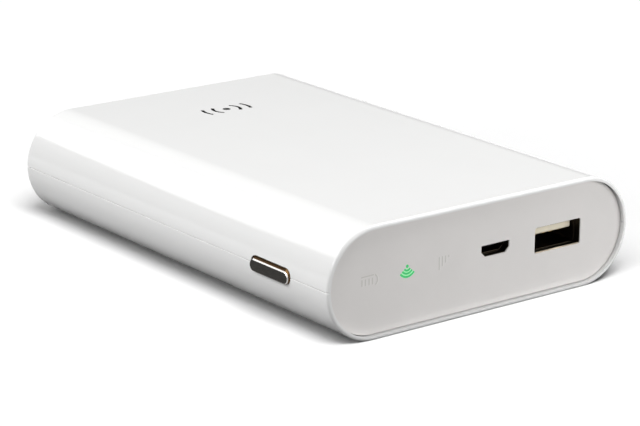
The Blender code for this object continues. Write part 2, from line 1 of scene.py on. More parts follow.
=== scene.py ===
"""Looks for a pocket mobile hotspot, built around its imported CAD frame.

Shapes are worked out in millimetres and put into Blender in metres. Every place comes from the CAD
nodes' own boxes, and pieces that the ends and sides show are rebuilt with finer edges.
"""

import json
import math

import bmesh
import bpy
from mathutils import Matrix, Vector


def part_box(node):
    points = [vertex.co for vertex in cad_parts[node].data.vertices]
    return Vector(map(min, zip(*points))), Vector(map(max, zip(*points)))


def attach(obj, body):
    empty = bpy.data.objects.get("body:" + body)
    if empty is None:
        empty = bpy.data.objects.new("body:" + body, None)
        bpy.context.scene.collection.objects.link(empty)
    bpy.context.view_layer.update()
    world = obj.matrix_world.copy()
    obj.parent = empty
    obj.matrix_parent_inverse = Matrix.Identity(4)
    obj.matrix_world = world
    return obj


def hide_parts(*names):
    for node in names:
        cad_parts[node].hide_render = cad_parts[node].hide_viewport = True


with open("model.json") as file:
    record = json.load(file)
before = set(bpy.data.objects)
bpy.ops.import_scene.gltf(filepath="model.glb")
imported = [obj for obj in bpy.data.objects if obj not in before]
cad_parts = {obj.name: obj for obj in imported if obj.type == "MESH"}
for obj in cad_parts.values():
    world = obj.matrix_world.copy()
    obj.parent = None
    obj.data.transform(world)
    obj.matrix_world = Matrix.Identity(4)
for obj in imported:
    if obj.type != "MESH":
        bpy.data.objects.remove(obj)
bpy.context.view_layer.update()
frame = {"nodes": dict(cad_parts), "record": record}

MM = 0.001


def node_box(node):
    """A CAD node's lowest and highest corners, in millimetres."""
    low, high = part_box(node)
    return low / MM, high / MM


# ---------------------------------------------------------------- sizes, from the CAD

TOP_LOW, TOP_HIGH = node_box("top_cover")
PANEL_LOW, PANEL_HIGH = node_box("front_panel")
REAR_LOW, REAR_HIGH = node_box("rear_cover")
KEY_LOW, KEY_HIGH = node_box("power_button")
USB_LOW, USB_HIGH = node_box("usb_a_shell")
TONGUE_LOW, TONGUE_HIGH = node_box("usb_a_tongue")
MICRO_LOW, MICRO_HIGH = node_box("micro_usb_shell")

WIDTH = TOP_HIGH.x - TOP_LOW.x
THICKNESS = TOP_HIGH.z
FRONT_Y = TOP_LOW.y
REAR_Y = TOP_HIGH.y
MID_Z = THICKNESS / 2
SIDE_RADIUS = THICKNESS / 2
SIDE_CENTRE_X = WIDTH / 2 - SIDE_RADIUS
SIDE_X = -WIDTH / 2

# The CAD's clear gap between neighbours, and how far a cutter runs past the face that it cuts.
GAP = 0.3
CUT_PAST = 1.0

# The tube: its wall, and the recess at each end with its rim and rounded mouth.
WALL = 1.5
RIM = 0.90
MOUTH_ROUNDING = 0.22
MOUTH_STEPS = 4
END_ROUNDING = 0.58
END_ROUND_STEPS = 8
ARC_STEPS = 48
SKIN_TOLERANCE = 0.02
SKIN_ANGLE = 6
FLAT_LIMIT = 0.9999

# The parting line, above the middle: the lower cover ends and the upper one starts at these heights.
SEAM_UPPER = 0.22
SEAM_LOWER = 0.10
UPPER_EDGE = 0.06
LOWER_EDGE = 0.15
EDGE_STEPS = 5

# The lower cover's rail, which locates the upper cover. Outer and inner are measured in from the side.
RAIL_OUTER = 1.8
RAIL_INNER = 2.6
RAIL_ABOVE = 1.2
RAIL_BELOW = 1.5
RAIL_ROOT = 3.0
RAIL_REAR_Y = 47.0
RAIL_CUT_INSET = 0.05

# The finger scoop under the rear end.
SCOOP_REACH = 1.4
SCOOP_HEIGHT = 1.82
SCOOP_HALF_WIDTH = 6

# End plates, and the rear one's tongues (x and z of each) and ribs (lowest and highest z of each).
PLATE_THICK = 1.5
PLATE_INSET = RIM + 0.03
PANEL_BEVEL = 0.03
REAR_BEVEL = 0.15
REAR_TONGUES = ((-14, 18.9), (14, 18.9), (0, 4.9))
REAR_TONGUE_HALF = (3, 0.5)
REAR_TONGUE_ROOT = 0.5
REAR_RIBS = ((10.5, 11.3), (13.3, 14.1))
REAR_RIB_HALF = 30
REAR_RIB_TALL = 0.6
REAR_RIB_ROOT = 0.3

# The power key and its hole.
KEY_Y = (KEY_LOW.y + KEY_HIGH.y) / 2
KEY_Z = (KEY_LOW.z + KEY_HIGH.z) / 2
KEY_SIZE = (13.3, 3.35)
KEY_CORNER = 1.6
KEY_CORNER_STEPS = 12
KEY_SMOOTH_ANGLE = 25
KEY_FLANGE_THICK = 0.7
KEY_CLEARANCE = 0.05
KEY_HOLE_FLARE = 0.1
KEY_HOLE_DEPTH = 4
KEY_FLARE_DEPTH = 0.1
KEY_FLARE_PAST = 0.4
KEY_POCKET_LONGER = 6.4
KEY_POCKET_DEPTH = 6
KEY_POCKET_WALL = 0.1

# The key's outer rings: depth from its face, then how far each is drawn in at its front, rear, top
# and bottom.
KEY_RINGS = (
    (0.02, 0.42, 0.46, 0.84, 0.26),
    (0.05, 0.39, 0.43, 0.81, 0.23),
    (0.26, 0.21, 0.19, 0.57, 0.10),
    (0.31, 0.17, 0.15, 0.52, 0.06),
)

# The band that starts at each of these rings: 1 is the polished edge, 2 the bronze shoulder.
KEY_BANDS = {1: 1, 2: 2, 3: 2, 4: 2}

# The ports.
PORT_SKIN = 0.3
USB_HOLE = (12.5, 5.35)
USB_HOLE_CORNER = 0.35
USB_SHELL_CORNER = 0.5
USB_INNER_CORNER = 0.3
USB_SHELL_BEVEL = 0.06
MICRO_HOLE = (7.3, 2.25)
MICRO_CHAMFER = 1.0
MICRO_INNER_CHAMFER = 0.85
MICRO_CHAMFER_GROWTH = 0.3
MICRO_CORNER = 0.12
MICRO_SHELL_BEVEL = 0.05
SLEEVE_ROOM = 0.24
SLEEVE_FIT = 0.04
SLEEVE_SETBACK = 0.22
SLEEVE_PAST = 0.2
SLEEVE_BEVEL = 0.04
USB_TONGUE_THICK = 1.84
USB_TONGUE_ROOT = 2.8
USB_TONGUE_NOSE_LOW = 0.25
USB_TONGUE_NOSE_HIGH = 0.45
USB_TONGUE_BEVEL = 0.08

# The bright lip along the bottom of the USB-A opening, a painted highlight on the port's metal,
# measured from the panel's face and from the opening's edge.
USB_LIP_SETBACK = 0.03
USB_LIP_BELOW = 0.06
USB_LIP_EDGE = 0.02
USB_LIP_SLOPE = 0.16
USB_LIP_BACK = 0.12
USB_LIP_SHORTER = 0.3

# The broadcast sign, inlaid in the top.
SIGN_PLACE = (0.4, 34.5)
SIGN_DOT = 0.95
SIGN_ARCS = (3.2, 5.7)
SIGN_HALF_HEIGHT = 2.3
SIGN_STROKE = 0.8
SIGN_CUT_DEPTH = 0.12
SIGN_INLAY_LOW = 0.3
SIGN_INLAY_HIGH = 0.05

# The lamp marks on the port panel: the place that each is drawn from, in (x, z).
BATTERY_PLACE = (-30.64, MID_Z + 0.1)
WIRELESS_PLACE = (-19.2, MID_Z + 1.45)
SIGNAL_PLACE = (-10.9, MID_Z + 1.8)
BAR_WIDTH = 0.34
BAR_CORNER = 0.1
ICON_DEPTH = 0.15
ICON_PROUD = 0.020
UNDER_ICON_PROUD = 0.010
# The paler copy of each unlit mark is a painted highlight, shifted this far down and to the right.
BATTERY_GLINT_SHIFT = (0.24, -0.10)
SIGNAL_GLINT_SHIFT = (0.24, -0.06)

# The studio. Heights are those of a direction's unit vector, from -1 straight down to 1 straight up.
FLOOR_HALF = 6000
FLOOR_DROP = 0.02
SKY_LEVEL = 0.04
HORIZON_LEVEL = 0.12
HORIZON_FADE = (0.08, 0.25)
BELOW_SHARE = 0.20
BELOW_FADE = (-0.02, 0.0)

# The camera, with its distance and shifts in millimetres and its angles in degrees.
LENS_MM = 142.68
SENSOR_MM = 36.0
CLIP_METRES = 100.0
CAMERA_AZIMUTH = -37.381
CAMERA_ELEVATION = 16.924
CAMERA_ROLL = 0.29
CAMERA_DISTANCE = 557.16
CAMERA_RIGHT = 0.824
CAMERA_DOWN = 4.276

# A noise field seldom leaves this span, so its colour ramps run across it.
NOISE_SPAN = (0.3, 0.7)


# ---------------------------------------------------------------- materials


class Look:
    """A Principled material with helpers for adding noise to its colour, roughness and bump."""

    def __init__(self, name, color, roughness, metallic=0.0, **more):
        self.material = bpy.data.materials.new(name)
        self.material.use_nodes = True
        self.tree = self.material.node_tree
        self.shader = self.tree.nodes["Principled BSDF"]
        self.set("Base Color", (*color, 1.0))
        self.set("Roughness", roughness)
        self.set("Metallic", metallic)
        for socket, value in more.items():
            self.set(socket.replace("_", " "), value)
        self.color = color
        self.roughness = roughness

    def set(self, socket, value):
        self.shader.inputs[socket].default_value = value

    def node(self, kind, **values):
        made = self.tree.nodes.new(kind)
        for key, value in values.items():
            if key in made.inputs:
                made.inputs[key].default_value = value
            else:
                setattr(made, key, value)
        return made

    def link(self, output, target):
        self.tree.links.new(output, target)

    def noise(self, scale, detail=3.0, stretch=(1, 1, 1)):
        """Noise over the piece's own coordinates, with scale in features per metre."""
        place = self.node("ShaderNodeTexCoord")
        mapping = self.node("ShaderNodeMapping")
        mapping.inputs["Scale"].default_value = stretch
        field = self.node("ShaderNodeTexNoise", Scale=scale, Detail=detail)
        self.link(place.outputs["Object"], mapping.inputs["Vector"])
        self.link(mapping.outputs["Vector"], field.inputs["Vector"])
        return field.outputs["Fac"]

    def vary_color(self, factor, darker, lighter):
        ramp = self.node("ShaderNodeValToRGB")
        ramp.color_ramp.elements[0].position = NOISE_SPAN[0]
        ramp.color_ramp.elements[1].position = NOISE_SPAN[1]
        ramp.color_ramp.elements[0].color = (*[c * darker for c in self.color], 1.0)
        ramp.color_ramp.elements[1].color = (*[min(1.0, c * lighter) for c in self.color], 1.0)
        self.link(factor, ramp.inputs["Fac"])
        self.link(ramp.outputs["Color"], self.shader.inputs["Base Color"])
        return self

    def vary_roughness(self, factor, spread):
        span = self.node("ShaderNodeMapRange")
        span.inputs["To Min"].default_value = max(0.0, self.roughness - spread)
        span.inputs["To Max"].default_value = self.roughness + spread
        self.link(factor, span.inputs["Value"])
        self.link(span.outputs["Result"], self.shader.inputs["Roughness"])
        return self

    def bump(self, factor, height, strength=1.0):
        made = self.node("ShaderNodeBump", Distance=height * MM, Strength=strength)
        self.link(factor, made.inputs["Height"])
        self.link(made.outputs["Normal"], self.shader.inputs["Normal"])
        return self


def gloss_plastic():
    """Injection-moulded gloss white with a faint unevenness."""
    look = Look("gloss_white", (0.80, 0.80, 0.795), 0.12, IOR=1.50)
    look.vary_color(look.noise(60), 0.995, 1.005)
    look.vary_roughness(look.noise(900, 2.0), 0.02)
    return look.bump(look.noise(350, 2.0), 0.0015).material


def satin_plastic(name, color):
    """Fine spark-eroded texture, as on the end plates."""
    look = Look(name, color, 0.45, IOR=1.48)
    look.vary_color(look.noise(120), 0.985, 1.015)
    look.vary_roughness(look.noise(4000, 2.0), 0.05)
    return look.bump(look.noise(9000, 2.0), 0.006).material


def dark_chrome():
    """Smoky plating with a fine brushed grain along the key."""
    look = Look("dark_chrome", (0.023, 0.021, 0.018), 0.2, 1.0)
    grain = look.noise(5000, 3.0, (1, 0.12, 1))
    look.vary_color(grain, 0.75, 1.3)
    look.vary_roughness(grain, 0.05)
    return look.bump(grain, 0.002).material


def plated(name, color, roughness, grain=(1, 1, 1)):
    """Plated or rolled sheet metal, with its grain drawn out along one way."""
    look = Look(name, color, roughness, 1.0)
    look.vary_color(look.noise(400, 3.0, grain), 0.93, 1.05)
    look.vary_roughness(look.noise(1500, 3.0, grain), 0.06)
    return look.bump(look.noise(2500, 3.0, grain), 0.002).material


def moulded(name, color, roughness=0.5, bump=0.005):
    look = Look(name, color, roughness)
    look.vary_color(look.noise(200), 0.95, 1.05)
    look.vary_roughness(look.noise(2500, 2.0), 0.05)
    return look.bump(look.noise(6000, 2.0), bump).material


def board_resist():
    """Green solder resist over copper: darker and lighter areas under a glossy skin."""
    look = Look("board_green", (0.02, 0.16, 0.07), 0.3, Coat_Weight=0.4)
    look.vary_color(look.noise(500, 1.0), 0.6, 1.5)
    return look.bump(look.noise(1200, 1.0), 0.01).material


def clear_plastic():
    look = Look("clear_plastic", (0.92, 0.95, 0.95), 0.08, IOR=1.49)
    look.set("Transmission Weight", 0.8)
    return look.bump(look.noise(800), 0.003).material


def lamp(name, color, strength):
    """A lit marking, its base colour varied a little by noise."""
    look = Look(name, color, 0.4)
    look.vary_color(look.noise(800), 0.92, 1.08)
    look.set("Emission Color", (*color, 1.0))
    look.set("Emission Strength", strength)
    return look.material


def foam():
    look = Look("foam", (0.06, 0.06, 0.06), 0.95)
    look.vary_color(look.noise(2500, 5.0), 0.5, 1.8)
    return look.bump(look.noise(2500, 5.0), 0.08).material


def floor_paper():
    look = Look("floor_paper", (0.92, 0.92, 0.92), 0.9)
    look.set("Specular IOR Level", 0.0)
    look.vary_color(look.noise(3), 0.995, 1.0)
    return look.material


GLOSS = gloss_plastic()
SATIN = satin_plastic("satin_grey", (0.72, 0.70, 0.685))
# The unlit lamp marks are moulded in the panel's own grey: the darker grey below is painted shade on
# them, and the paler grey is a painted highlight.
ICON = satin_plastic("icon_painted_shade", (0.60, 0.585, 0.56))
ICON_PAINTED_HIGHLIGHT = satin_plastic("icon_painted_highlight", (0.77, 0.755, 0.735))
INNER = moulded("inner_plastic", (0.70, 0.70, 0.69), 0.6)
KEY = dark_chrome()
KEY_EDGE = plated("polished_edge", (0.42, 0.41, 0.40), 0.18, (1, 0.1, 1))
KEY_SHOULDER = plated("bronze_shoulder", (0.075, 0.042, 0.018), 0.25, (1, 0.1, 1))
STEEL = plated("steel", (0.60, 0.58, 0.55), 0.25, (1, 0.1, 1))
# Port metal drawn near black: painted shade for the shadowed insides of the ports.
PORT_STEEL_PAINTED_SHADE = plated("port_steel_painted_shade", (0.045, 0.036, 0.026), 0.35, (1, 0.1, 1))
# A paler copy of the port metal: a painted highlight for the lit bottom edge of the USB-A opening.
PORT_LIP_PAINTED_HIGHLIGHT = plated("port_lip_painted_highlight", (0.62, 0.54, 0.43), 0.5, (0.1, 1, 1))
NICKEL = plated("nickel", (0.66, 0.63, 0.57), 0.3, (0.2, 1, 1))
CAN = plated("capacitor_can", (0.72, 0.72, 0.73), 0.25, (1, 1, 0.1))
GOLD = plated("gold", (0.78, 0.56, 0.22), 0.25, (1, 0.1, 1))
IVORY = moulded("ivory_plastic", (0.86, 0.79, 0.62), 0.4)
BLACK = moulded("black_plastic", (0.02, 0.02, 0.02), 0.5)
MARK = plated("mark_inlay", (0.06, 0.06, 0.06), 0.3)
LIT = lamp("lamp_green", (0.02, 0.42, 0.11), 0.45)
GLOW = lamp("lamp_glow", (0.29, 0.72, 0.38), 0.3)

SLOT_LOOKS = {
    "inner_plastic": INNER,
    "steel": STEEL,
    "gold": GOLD,
    "nickel": NICKEL,
    "capacitor_can": CAN,
    "ivory_plastic": IVORY,
    "black_plastic": BLACK,
    "board_green": board_resist(),
    "clear_plastic": clear_plastic(),
    "led": moulded("led_epoxy", (0.80, 0.78, 0.55), 0.25),
    "led_lit": lamp("led_green", (0.05, 0.85, 0.25), 1.0),
    "cell_wrap": moulded("cell_wrap", (0.06, 0.16, 0.36), 0.3),
    "foam": foam(),
    "insulator": moulded("fish_paper", (0.30, 0.48, 0.38), 0.8, 0.02),
    "wire_red": moulded("wire_red", (0.50, 0.02, 0.02), 0.4),
    "wire_black": moulded("wire_black", (0.02, 0.02, 0.02), 0.4),
    "antenna_film": moulded("antenna_film", (0.45, 0.24, 0.09), 0.35),
    "sim_card": moulded("card_plastic", (0.82, 0.82, 0.80), 0.3, 0.002),
}
# The micro-USB tongue is black plastic darkened further as painted shade for the port's shadowed inside.
NODE_LOOKS = {"micro_usb_tongue": moulded("port_black_painted_shade", (0.004, 0.004, 0.004), 0.8)}


# ---------------------------------------------------------------- shapes


def loft(rings):
    """A closed skin through rings of 3-D points, each with the same number of points."""
    bm = bmesh.new()
    made = [[bm.verts.new(point) for point in ring] for ring in rings]
    count = len(rings[0])
    for first, second in zip(made, made[1:]):
        for i in range(count):
            j = (i + 1) % count
            bm.faces.new((first[i], first[j], second[j], second[i]))
    bm.faces.new(made[0])
    bm.faces.new(list(reversed(made[-1])))
    return bm


def along_y(outline, low, high):
    return loft([[(x, y, z) for x, z in outline] for y in (low, high)])


def along_z(outline, low, high):
    return loft([[(x, y, z) for x, y in outline] for z in (low, high)])


def box(low, high):
    outline = [(low[0], low[1]), (high[0], low[1]), (high[0], high[1]), (low[0], high[1])]
    return along_z(outline, low[2], high[2])


def arc(centre, radius, start, end, steps):
    """Points of a circle's arc, angles in degrees, both ends included."""
    points = []
    for i in range(steps + 1):
        angle = math.radians(start + (end - start) * i / steps)
        points.append((centre[0] + radius * math.cos(angle), centre[1] + radius * math.sin(angle)))
    return points


def circle(centre, radius, steps):
    return arc(centre, radius, 0, 360, steps)[:-1]


def rounded_rectangle(size, corner, centre=(0, 0), steps=6):
    half_u = size[0] / 2 - corner
    half_v = size[1] / 2 - corner
    centres = ((half_u, half_v), (-half_u, half_v), (-half_u, -half_v), (half_u, -half_v))
    points = []
    for i, (u, v) in enumerate(centres):
        points += arc((u + centre[0], v + centre[1]), corner, 90 * i, 90 * i + 90, steps)
    return points


def stadium(inset):
    """The body's cross-section in (x, z), drawn in by inset all round."""
    radius = SIDE_RADIUS - inset
    right = arc((SIDE_CENTRE_X, MID_Z), radius, -90, 90, 2 * ARC_STEPS)
    left = arc((-SIDE_CENTRE_X, MID_Z), radius, 90, 270, 2 * ARC_STEPS)
    return right + left


def micro_outline(size, chamfer, centre):
    """The micro port's section: its upper corners are nicked and its lower corners slope."""
    u = size[0] / 2
    v = size[1] / 2
    nick = MICRO_CORNER
    upper = [(u - nick, v), (-u + nick, v), (-u, v - nick)]
    lower = [(-u, -v + chamfer), (-u + chamfer, -v), (u - chamfer, -v), (u, -v + chamfer)]
    return [(x + centre[0], z + centre[1]) for x, z in upper + lower + [(u, v - nick)]]


def stroke(points, width):
    """The outline of a line of one width through points, with flat ends."""
    left = []
    right = []
    for i, point in enumerate(points):
        before = Vector(points[max(i - 1, 0)])
        after = Vector(points[min(i + 1, len(points) - 1)])
        way = (after - before).normalized() * width / 2
        left.append((point[0] - way.y, point[1] + way.x))
        right.append((point[0] + way.y, point[1] - way.x))
    return left + right[::-1]


# ---------------------------------------------------------------- pieces


def to_object(name, bm, material=None):
    bmesh.ops.recalc_face_normals(bm, faces=bm.faces)
    mesh = bpy.data.meshes.new(name)
    bm.to_mesh(mesh)
    bm.free()
    mesh.transform(Matrix.Scale(MM, 4))
    obj = bpy.data.objects.new(name, mesh)
    if material:
        mesh.materials.append(material)
    bpy.context.scene.collection.objects.link(obj)
    return obj


def boolean(obj, bm, operation="DIFFERENCE"):
    """Cuts a bmesh shape from a piece, or joins it on, and keeps the result as plain mesh."""
    tool = to_object("tool", bm)
    modifier = obj.modifiers.new("edit", "BOOLEAN")
    modifier.operation = operation
    modifier.object = tool
    bake(obj)
    bpy.data.objects.remove(tool)


def bake(obj):
    """Turns a piece's modifiers into plain mesh."""
    seen = obj.evaluated_get(bpy.context.evaluated_depsgraph_get())
    made = bpy.data.meshes.new_from_object(seen)
    obj.modifiers.clear()
    obj.data = made


def bevel(obj, width, segments=3, angle=40):
    modifier = obj.modifiers.new("edges", "BEVEL")
    modifier.width = width * MM
    modifier.segments = segments
    modifier.limit_method = "ANGLE"
    modifier.angle_limit = math.radians(angle)
    modifier.miter_outer = "MITER_ARC"
    bake(obj)


def smooth(obj, angle=30):
    """Smooth shading that keeps sharp edges, and keeps faces across Y flat right up to their bevels."""
    obj.data.shade_smooth()
    obj.data.set_sharp_from_angle(angle=math.radians(angle))
    for face in obj.data.polygons:
        if abs(face.normal.y) > FLAT_LIMIT:
            face.use_smooth = False


def polish_skin(obj):
    """Gives the tube's outer skin the normals of the true curve, so that cuts leave no ripples."""
    smooth(obj)
    mesh = obj.data
    normals = [Vector(n.vector) for n in mesh.corner_normals]
    for face in mesh.polygons:
        for corner in face.loop_indices:
            place = mesh.vertices[mesh.loops[corner].vertex_index].co / MM
            out = max(abs(place.x) - SIDE_CENTRE_X, 0.0)
            across = Vector((math.copysign(out, place.x), 0.0, place.z - MID_Z))
            if abs(across.length - SIDE_RADIUS) > SKIN_TOLERANCE:
                continue
            across.normalize()
            if across.dot(face.normal) > math.cos(math.radians(SKIN_ANGLE)):
                normals[corner] = across
    mesh.normals_split_custom_set(normals)


def add(obj, body, slot, *replaced):
    """Puts a finished piece on a CAD body, in place of any CAD nodes named."""
    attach(obj, body)
    if replaced:
        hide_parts(*replaced)


# ---------------------------------------------------------------- covers


def half_section(y, inset, upper):
    """One cross-section of a cover, worked out from the body's middle: upwards for the upper cover,
    downwards for the lower one, which also has the rails."""
    radius = SIDE_RADIUS - inset
    inner = SIDE_RADIUS - WALL
    seam = SEAM_UPPER if upper else -SEAM_LOWER
    side = 1 if upper else -1
    half = WIDTH / 2
    rounding = UPPER_EDGE if upper else LOWER_EDGE
    edge = SIDE_CENTRE_X + radius - rounding
    corner = arc((edge, seam + rounding), rounding, -90, 0, EDGE_STEPS)
    start = math.degrees(math.asin((seam + rounding) / radius))
    outer = corner[:-1] + arc((SIDE_CENTRE_X, 0), radius, start, 90, ARC_STEPS)
    if upper:
        stop = math.degrees(math.asin(seam / inner))
        inside = arc((SIDE_CENTRE_X, 0), inner, 90, stop, ARC_STEPS)
    else:
        stop = math.degrees(math.asin(RAIL_ROOT / inner))
        rail = [(half - RAIL_INNER, RAIL_BELOW), (half - RAIL_INNER, -RAIL_ABOVE)]
        rail += [(half - RAIL_OUTER, -RAIL_ABOVE), (half - RAIL_OUTER, seam)]
        inside = arc((SIDE_CENTRE_X, 0), inner, 90, stop, ARC_STEPS) + rail
    left = [(-x, z) for x, z in reversed(outer)]
    back = [(-x, z) for x, z in reversed(inside)] + inside
    return [(x, y, MID_Z + side * z) for x, z in outer + left + back]


def end_steps():
    """How far the outer skin is drawn in, and how far from the end, at each step of a quarter round."""
    steps = []
    for i in range(END_ROUND_STEPS + 1):
        angle = math.radians(90 * i / END_ROUND_STEPS)
        steps.append((END_ROUNDING * (1 - math.sin(angle)), END_ROUNDING * (1 - math.cos(angle))))
    return list(reversed(steps))


def mouth_cutter(end, depth):
    """What an end plate's recess takes out of the tube, with a rounded lip at the mouth."""
    out = 1 if end > depth else -1
    rings = [(end + out * CUT_PAST, RIM - MOUTH_ROUNDING)]
    for u, v in arc((0, 0), MOUTH_ROUNDING, 90, 0, MOUTH_STEPS):
        rings.append((end - out * (MOUTH_ROUNDING - v), RIM - u))
    rings.append((depth, RIM))
    return loft([[(x, y, z) for x, z in stadium(inset)] for y, inset in rings])


def key_hole_cutter():
    """What the power key's hole takes out of the side, a little wider towards the outside."""
    rings = []
    for depth, flare in ((KEY_HOLE_DEPTH, 0), (KEY_FLARE_DEPTH, 0), (-KEY_FLARE_PAST, KEY_HOLE_FLARE)):
        grow = 2 * KEY_CLEARANCE + flare
        size = (KEY_SIZE[0] + grow, KEY_SIZE[1] + grow)
        outline = rounded_rectangle(size, KEY_CORNER + grow / 2, (KEY_Y, KEY_Z))
        rings.append([(SIDE_X + depth, y, z) for y, z in outline])
    return loft(rings)


def make_cover(name, upper):
    """Half of the tube, with the recesses at its ends and the key's hole in its side."""
    rings = [half_section(FRONT_Y + d, inset, upper) for inset, d in reversed(end_steps())]
    rings += [half_section(REAR_Y - d, inset, upper) for inset, d in end_steps()]
    cover = to_object(name, loft(rings), GLOSS)
    boolean(cover, mouth_cutter(FRONT_Y, PANEL_HIGH.y + GAP))
    boolean(cover, mouth_cutter(REAR_Y, REAR_HIGH.y - PLATE_THICK - GAP))
    boolean(cover, key_hole_cutter())
    return cover


def sign_outlines():
    """A plain broadcast sign: a dot between two pairs of arcs."""
    shapes = [circle(SIGN_PLACE, SIGN_DOT, 32)]
    for radius in SIGN_ARCS:
        spread = math.degrees(math.asin(SIGN_HALF_HEIGHT / radius))
        for facing in (0, 180):
            curve = arc(SIGN_PLACE, radius, facing - spread, facing + spread, 24)
            shapes.append(stroke(curve, SIGN_STROKE))
    return shapes


def make_top_cover():
    cover = make_cover("top_shell", True)
    for number, outline in enumerate(sign_outlines()):
        boolean(cover, along_z(outline, THICKNESS - SIGN_CUT_DEPTH, THICKNESS + CUT_PAST))
        filling = along_z(outline, THICKNESS - SIGN_INLAY_LOW, THICKNESS - SIGN_INLAY_HIGH)
        add(to_object(f"top_mark_{number}", filling, MARK), "housing", "dark_chrome")
    polish_skin(cover)
    add(cover, "housing", "gloss_white", "top_cover")


def rail_end_cutter():
    """Takes the rails away towards the rear, where the bulkhead and the rear cover sit."""
    outline = [(x, max(z, MID_Z - RAIL_ROOT)) for x, z in stadium(WALL + RAIL_CUT_INSET)]
    return along_y(outline, RAIL_REAR_Y, REAR_Y + CUT_PAST)


def scoop_cutter():
    """A finger scoop across the middle of the rear end's lower edge."""
    outline = [(REAR_Y + SCOOP_REACH * v, SCOOP_HEIGHT * u) for u, v in circle((0, 0), 1, 40)]
    return loft([[(x, y, z) for y, z in outline] for x in (-SCOOP_HALF_WIDTH, SCOOP_HALF_WIDTH)])


def key_pocket_cutter():
    """Takes the rail away where the key's flange and switch need the room."""
    half = (KEY_SIZE[0] + KEY_POCKET_LONGER) / 2
    low = (SIDE_X + WALL + KEY_POCKET_WALL, KEY_Y - half, MID_Z - RAIL_ROOT)
    high = (SIDE_X + KEY_POCKET_DEPTH, KEY_Y + half, MID_Z + RAIL_ROOT)
    return box(low, high)


def make_bottom_cover():
    cover = make_cover("bottom_shell", False)
    boolean(cover, rail_end_cutter())
    boolean(cover, scoop_cutter())
    boolean(cover, key_pocket_cutter())
    polish_skin(cover)
    add(cover, "housing", "gloss_white", "bottom_cover")


# ---------------------------------------------------------------- end plates and markings


def middle_of(low, high):
    """The middle of a node's box in (x, z)."""
    return (low.x + high.x) / 2, (low.z + high.z) / 2


def usb_outline(grow=0.0):
    """The USB-A opening, made larger by grow."""
    size = (USB_HOLE[0] + grow, USB_HOLE[1] + grow)
    return rounded_rectangle(size, USB_HOLE_CORNER + grow / 2, middle_of(USB_LOW, USB_HIGH), 3)


def micro_hole_outline(grow=0.0):
    """The micro-USB opening, made larger by grow."""
    size = (MICRO_HOLE[0] + grow, MICRO_HOLE[1] + grow)
    chamfer = MICRO_CHAMFER + grow * MICRO_CHAMFER_GROWTH
    return micro_outline(size, chamfer, middle_of(MICRO_LOW, MICRO_HIGH))


def make_usb_lip():
    """A bright metal strip along the bottom of the USB-A opening: a painted highlight where the port's
    metal catches the light.
    """
    middle, height = middle_of(USB_LOW, USB_HIGH)
    low = height - USB_HOLE[1] / 2
    front = PANEL_LOW.y
    back = front + USB_LIP_SLOPE + USB_LIP_BACK
    side = [
        (front + USB_LIP_SETBACK, low - USB_LIP_BELOW),
        (front + USB_LIP_SETBACK, low + USB_LIP_EDGE),
        (front + USB_LIP_SLOPE, low + USB_LIP_SLOPE),
        (back, low + USB_LIP_SLOPE),
        (back, low - USB_LIP_BELOW),
    ]
    half = USB_HOLE[0] / 2 - USB_LIP_SHORTER
    rings = [[(x, y, z) for y, z in side] for x in (middle - half, middle + half)]
    lip = to_object("usb_a_lip", loft(rings), PORT_LIP_PAINTED_HIGHLIGHT)
    smooth(lip)
    add(lip, "housing", "steel")


def make_sleeve(name, outer, inner):
    """The folded front of a port's metal, just behind the panel's face, darkened as painted shade."""
    front = PANEL_LOW.y + SLEEVE_SETBACK
    back = PANEL_HIGH.y + SLEEVE_PAST
    sleeve = to_object(name, along_y(outer, front, back), PORT_STEEL_PAINTED_SHADE)
    boolean(sleeve, along_y(inner, front - CUT_PAST, back + CUT_PAST))
    bevel(sleeve, SLEEVE_BEVEL, 2)
    smooth(sleeve)
    add(sleeve, "housing", "steel")


def battery_marks():
    """Four bars with a line above and a rounded end, drawn from the middle of the first bar."""
    x, z = BATTERY_PLACE
    bar = (BAR_WIDTH, 1.4)
    pitch = 0.89
    marks = [rounded_rectangle(bar, BAR_CORNER, (x + pitch * i, z), 2) for i in range(4)]
    line = [(x - 0.2, z + 1.2), (x + 3.0, z + 1.26)]
    cap = arc((x + 2.64, z + 0.15), 1.24, -55, 62, 12)
    return marks + [stroke(line, 0.26), stroke(cap, 0.3)]


def signal_marks():
    """Four bars hanging from one line, each shorter than the last, drawn from the first bar's top."""
    x, top = SIGNAL_PLACE
    pitch = 0.82
    marks = []
    for i, length in enumerate((2.8, 2.1, 1.5, 0.5)):
        middle = (x + pitch * i, top - length / 2)
        marks.append(rounded_rectangle((BAR_WIDTH, length), BAR_CORNER, middle, 2))
    return marks


def wireless_marks():
    """A dot over three arcs that spread downwards, drawn from the dot's middle."""
    marks = [circle(WIRELESS_PLACE, 0.36, 20)]
    for radius, spread in ((0.88, 56), (1.52, 54), (2.2, 52)):
        marks.append(stroke(arc(WIRELESS_PLACE, radius, 270 - spread, 270 + spread, 20), 0.4))
    return marks


def wireless_glow():
    """The fan of light that spreads between the lit arcs."""
    spread = 50
    outside = arc(WIRELESS_PLACE, 2.45, 270 - spread, 270 + spread, 20)
    inside = arc(WIRELESS_PLACE, 0.55, 270 + spread, 270 - spread, 6)
    return [outside + inside]


def print_marks(group, marks, skin, slot, proud, shift=(0, 0)):
    """Thin markings on the panel's face, each set into it and standing proud by a hair."""
    face = PANEL_LOW.y
    for number, outline in enumerate(marks):
        placed = [(x + shift[0], z + shift[1]) for x, z in outline]
        shape = along_y(placed, face - proud, face + ICON_DEPTH)
        add(to_object(f"icon_{group}_{number}", shape, skin), "housing", slot)


